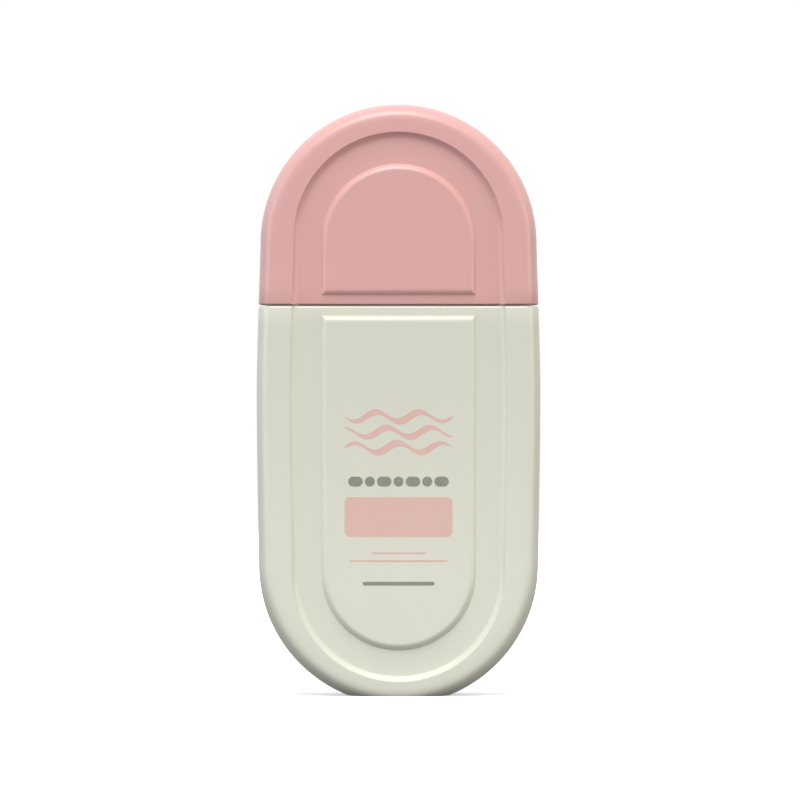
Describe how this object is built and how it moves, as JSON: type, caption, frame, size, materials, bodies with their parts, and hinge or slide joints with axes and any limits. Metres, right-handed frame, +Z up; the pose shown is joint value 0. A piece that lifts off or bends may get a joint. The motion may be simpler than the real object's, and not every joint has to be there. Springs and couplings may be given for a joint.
{
  "type": "sunscreen bottle",
  "caption": "Flat round-ended plastic bottle with a straight seam, a screwed spout closure and a matching pull-off dome cap.",
  "frame": {"origin": "centre of the foot, on the surface that the bottle stands on", "axes": "+Z up through the neck, front faces -Y, +X to the right seen from the front"},
  "size_m": [0.0682, 0.0264, 0.1417],
  "materials": {
    "ivory_bottle": "satin blow-moulded ivory polyethylene",
    "pink_cap": "satin injection-moulded dusty pink polypropylene",
    "white_insert": "plain white moulded polypropylene",
    "soft_spout": "soft natural polyethylene",
    "soft_stopper": "soft pale stopper",
    "pink_print": "flat screen-printed pink ink",
    "grey_print": "flat screen-printed grey-green ink",
    "foam_gasket": "closed-cell foam ring"
  },
  "bodies": {
    "bottle": {"bottle_shell": "ivory_bottle"},
    "seal": {"neck_gasket": "foam_gasket"},
    "closure": {"nozzle_collar": "white_insert", "nozzle_spout": "soft_spout"},
    "cap": {"cap_shell": "pink_cap", "cap_liner": "white_insert", "spout_stopper": "soft_stopper"}
  },
  "joints": [
    {"name": "closure_rise", "type": "slide", "parent": "bottle", "child": "seal", "axis": [0, 0, 1], "range_m": [0, 0.0072]},
    {"name": "closure_turn", "type": "hinge", "parent": "seal", "child": "closure", "pos_m": [0, 0, 0.0973], "axis": [0, 0, 1], "range_deg": [0, 811]},
    {"name": "cap_lift", "type": "slide", "parent": "seal", "child": "cap", "axis": [0, 0, 1], "range_m": [0, 0.06]}
  ],
  "couplings": [
    {"joint": "closure_turn", "follows": "closure_rise", "rad_per_m": 1963.5}
  ]
}
